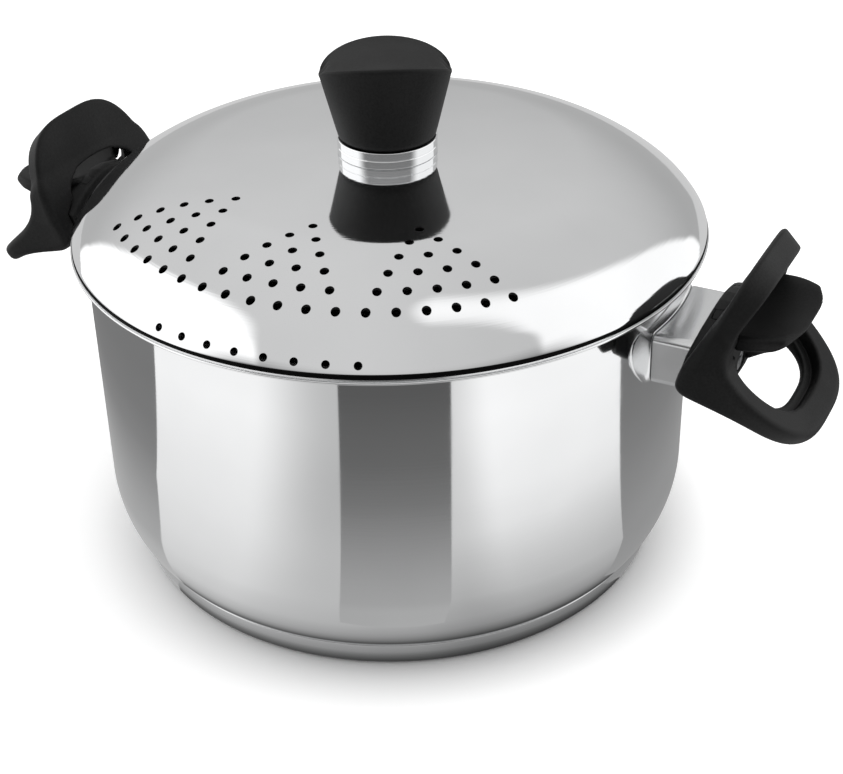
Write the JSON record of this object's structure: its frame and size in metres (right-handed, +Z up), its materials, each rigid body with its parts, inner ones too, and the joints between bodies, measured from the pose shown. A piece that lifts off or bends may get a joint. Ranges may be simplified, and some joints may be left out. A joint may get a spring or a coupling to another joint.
{
  "type": "lidded pasta pot",
  "caption": "Polished steel pasta pot with a perforated straining lid, a black knob and side handles whose hinged frames lock the lid.",
  "frame": {"origin": "centre of the base, on the surface the pot stands on", "axes": "+Z up; +X to the right seen from the front of the strainer side, with the handles 28.5 degrees off the X axis; -Y to the front"},
  "size_m": [0.3408, 0.2524, 0.2081],
  "materials": {
    "polished_steel": "mirror polish",
    "inner_steel": "satin",
    "base_steel": "mirror polish",
    "base_aluminium": "plain, enclosed",
    "fixing_steel": "plain",
    "black_grip": "fine matte grain"
  },
  "bodies": {
    "pot": {"pot_body": "polished_steel", "base_core": "base_aluminium", "base_cap": "base_steel", "saddle_right": "polished_steel", "sleeve_right": "polished_steel", "stud_right": "fixing_steel", "block_right": "black_grip", "rest_right": "black_grip", "screw_right": "fixing_steel", "pin_right": "fixing_steel", "saddle_left": "polished_steel", "sleeve_left": "polished_steel", "stud_left": "fixing_steel", "block_left": "black_grip", "rest_left": "black_grip", "screw_left": "fixing_steel", "pin_left": "fixing_steel"},
    "lid": {"lid_shell": "polished_steel", "lid_ring": "inner_steel", "knob_collar": "polished_steel", "knob_body": "black_grip", "knob_screw": "fixing_steel", "knob_washer": "fixing_steel"},
    "lock_frame_right": {"frame_right": "black_grip"},
    "lock_frame_left": {"frame_left": "black_grip"}
  },
  "joints": [
    {"name": "lid_lift", "type": "slide", "parent": "pot", "child": "lid", "axis": [0, 0, 1], "range_m": [0, 0.1]},
    {"name": "lock_right", "type": "hinge", "parent": "pot", "child": "lock_frame_right", "pos_m": [0.12259, -0.06656, 0.118], "axis": [-0.4772, -0.8788, 0], "range_deg": [0, 44]},
    {"name": "lock_left", "type": "hinge", "parent": "pot", "child": "lock_frame_left", "pos_m": [-0.12259, 0.06656, 0.118], "axis": [0.4772, 0.8788, 0], "range_deg": [0, 44]}
  ]
}
